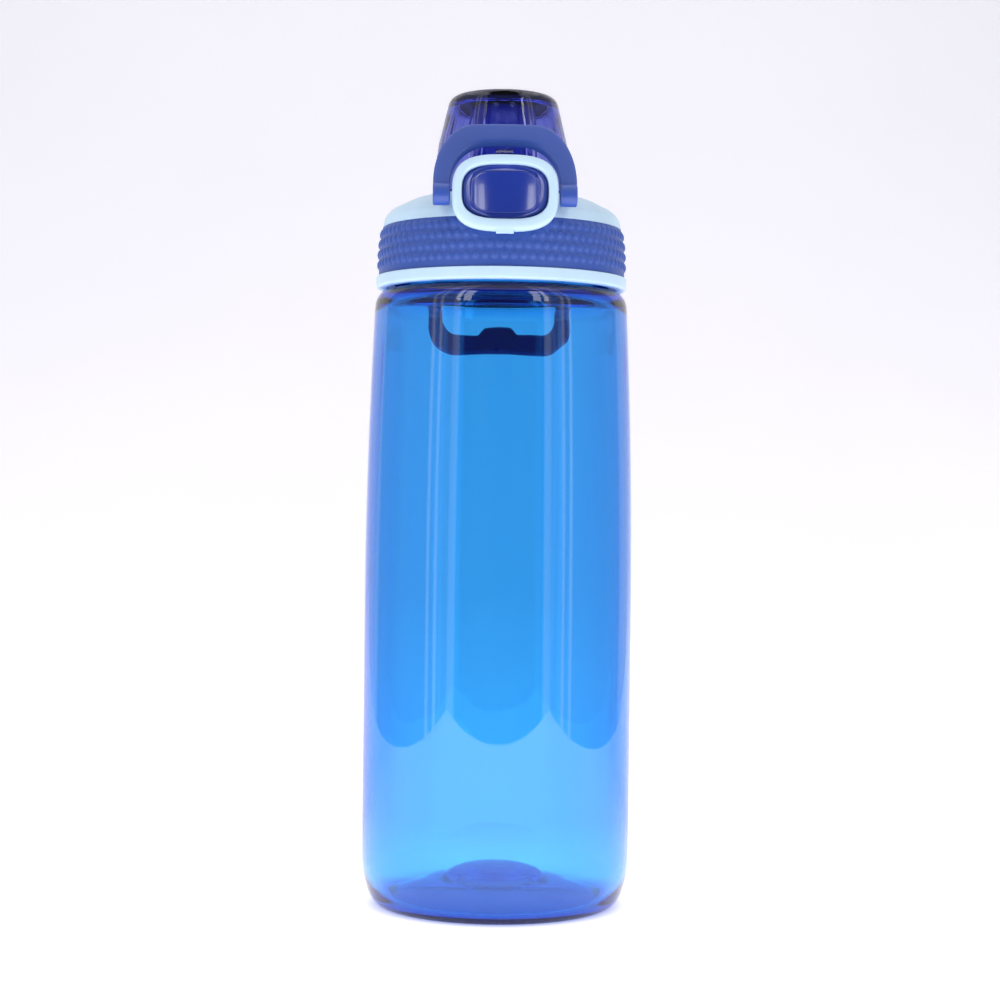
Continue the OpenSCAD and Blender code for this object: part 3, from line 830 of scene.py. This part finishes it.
def add_sweep():
    """White paper sweep: a floor that curves up into a wall, glowing, with a painted shadow under the bottle.
    """
    profile = [(FLOOR_EDGE, 0), (0.0, 0), (0.3, 0), (CURVE_START, 0)]
    profile += arc(CURVE_START, 0.5, 0.5, 0.5, -90, 0, 24)[1:] + [(WALL_Y, 2.6)]
    points, faces = [], []
    for side in (-1, 1):
        points += [(side * along(SWEEP_WIDTH, y) / MM, y / MM, z / MM) for y, z in profile]
    count = len(profile)
    for i in range(count - 1):
        faces.append([i, i + 1, count + i + 1, count + i])
    floor = build("sweep", points, faces)
    floor.data.shade_smooth()
    paint = Paint("paper")
    mottle = paint.ramp(paint.noise(6), 0, 1)
    paint.put("Base Color", paint.blend(mottle, (0.86, 0.845, 0.89), (0.88, 0.865, 0.91)))
    paint.put("Roughness", paint.ramp(paint.noise(40), 0.55, 0.7))
    paint.put("Emission Color", (0.96, 0.95, 1.0, 1))
    height = paint.node("ShaderNodeSeparateXYZ")
    paint.link(paint.place, height.inputs[0])
    distance = paint.node("ShaderNodeVectorMath", operation="LENGTH")
    paint.link(paint.stretched((1, 1, 0)), distance.inputs[0])
    level = paint.product(paint.span(height.outputs["Z"], *GLOW_BY_HEIGHT),
                          paint.span(height.outputs["Y"], *GLOW_BY_DEPTH))
    # Painted shadow under the bottle: the glow is dimmed near its axis
    under = paint.span(distance.outputs["Value"], *PAINTED_SHADOW_UNDER)
    paint.put("Emission Strength", paint.product(level, under))
    floor.data.materials.append(paint.material)


# Strip lights as (name, degrees from the front, width, power)
STRIP_LIGHTS = (("strip_near", 31, 0.12, 0.8), ("strip_far", 39.5, 0.06, 0.4))
STRIP_HEIGHT = 0.53
STRIP_ELEVATION, STRIP_DISTANCE = 29.2, 0.974
LIGHT_TARGET = (0, 0, 0.13)


def add_strip(name, azimuth, width, power):
    """Tall light that faces the middle of the bottle. Azimuth is from the front, positive to the right."""
    data = bpy.data.lights.new(name, "AREA")
    data.shape = "RECTANGLE"
    data.size, data.size_y = width, STRIP_HEIGHT
    data.energy = power
    light = bpy.data.objects.new(name, data)
    SCENE.collection.objects.link(light)
    a, e = math.radians(azimuth), math.radians(STRIP_ELEVATION)
    away = Vector((math.sin(a) * math.cos(e), -math.cos(a) * math.cos(e), math.sin(e)))
    light.location = Vector(LIGHT_TARGET) + away * STRIP_DISTANCE
    light.rotation_mode = "QUATERNION"
    light.rotation_quaternion = away.to_track_quat("Z", "Y")


# World strips as (start angle, end angle, added strength), with angles from straight behind the camera
STRIPS = ((0.66, 0.77, 1.2), (0.95, 1.0, 1.5), (1.08, 1.13, 1.5))
BACKGROUND = (0.97, 0.965, 1.0, 1)


def add_world():
    """Light from all round and above, dim behind the camera, with three bright strips on each side.
    The camera itself sees it plain and pale."""
    world = bpy.data.worlds.new("studio")
    SCENE.world = world
    world.use_nodes = True
    nodes, links = world.node_tree.nodes, world.node_tree.links

    def compute(operation, *values):
        made = nodes.new("ShaderNodeMath")
        made.operation = operation
        for socket, value in zip(made.inputs, values):
            if hasattr(value, "is_linked"):
                links.new(value, socket)
            else:
                socket.default_value = value
        return made.outputs["Value"]

    def step(value, start, low, high):
        made = nodes.new("ShaderNodeMapRange")
        made.interpolation_type = "SMOOTHSTEP"
        limits = (start - 0.02, start + 0.02, low, high)
        for socket, number in zip(("From Min", "From Max", "To Min", "To Max"), limits):
            made.inputs[socket].default_value = number
        links.new(value, made.inputs["Value"])
        return made.outputs["Result"]

    parts = nodes.new("ShaderNodeSeparateXYZ")
    links.new(nodes.new("ShaderNodeTexCoord").outputs["Generated"], parts.inputs[0])
    backward = compute("MULTIPLY", parts.outputs["Y"], -1)
    around = compute("ABSOLUTE", compute("ARCTAN2", parts.outputs["X"], backward))
    level = compute("ADD", step(around, 0.77, 0.1, 0.5), step(around, 2.2, 0, 0.44))
    level = compute("ADD", level, step(parts.outputs["Z"], 0.75, 0, 0.8))
    for start, end, extra in STRIPS:
        strip = compute("SUBTRACT", step(around, start, 0, extra), step(around, end, 0, extra))
        level = compute("ADD", level, strip)
    seen = nodes.new("ShaderNodeLightPath").outputs["Is Camera Ray"]
    links.new(compute("MAXIMUM", level, seen), nodes["Background"].inputs["Strength"])
    nodes["Background"].inputs["Color"].default_value = BACKGROUND


def set_look():
    """Plain colours, and enough bounces for clear walls behind each other."""
    SCENE.view_settings.view_transform = "Standard"
    SCENE.view_settings.look = "None"
    cycles = SCENE.cycles
    cycles.use_denoising = True
    cycles.max_bounces = 32
    cycles.transmission_bounces = 24
    cycles.transparent_max_bounces = 20
    cycles.glossy_bounces = 24
    cycles.diffuse_bounces = 4
    cycles.caustics_reflective = False
    cycles.caustics_refractive = True
    cycles.sample_clamp_indirect = 6


# CAD nodes whose shape is right, with their materials
KEPT_NODES = {
    "neck_gasket": "silicone", "lid_liner": "navy_plastic", "button_spring": "steel",
    "cap_hinge_pin": "steel", "cap_spring": "steel", "loop_pins": "steel",
    "spout_o_ring": "seal_rubber", "vent_valve": "silicone",
}


def main():
    """Builds every piece, then the studio."""
    add_camera()
    materials = make_materials()
    for make in (make_bottle, make_shell, make_band, make_bezel, make_button, make_spout, make_cap, make_seal,
                 make_lock_ring, make_loop):
        make(materials)
    for node, slot in KEPT_NODES.items():
        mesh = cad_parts[node].data
        mesh.materials.clear()
        mesh.materials.append(materials[slot])
    add_sweep()
    for side in (-1, 1):
        for name, azimuth, width, power in STRIP_LIGHTS:
            add_strip(name, side * azimuth, width, power)
    add_world()
    set_look()


main()
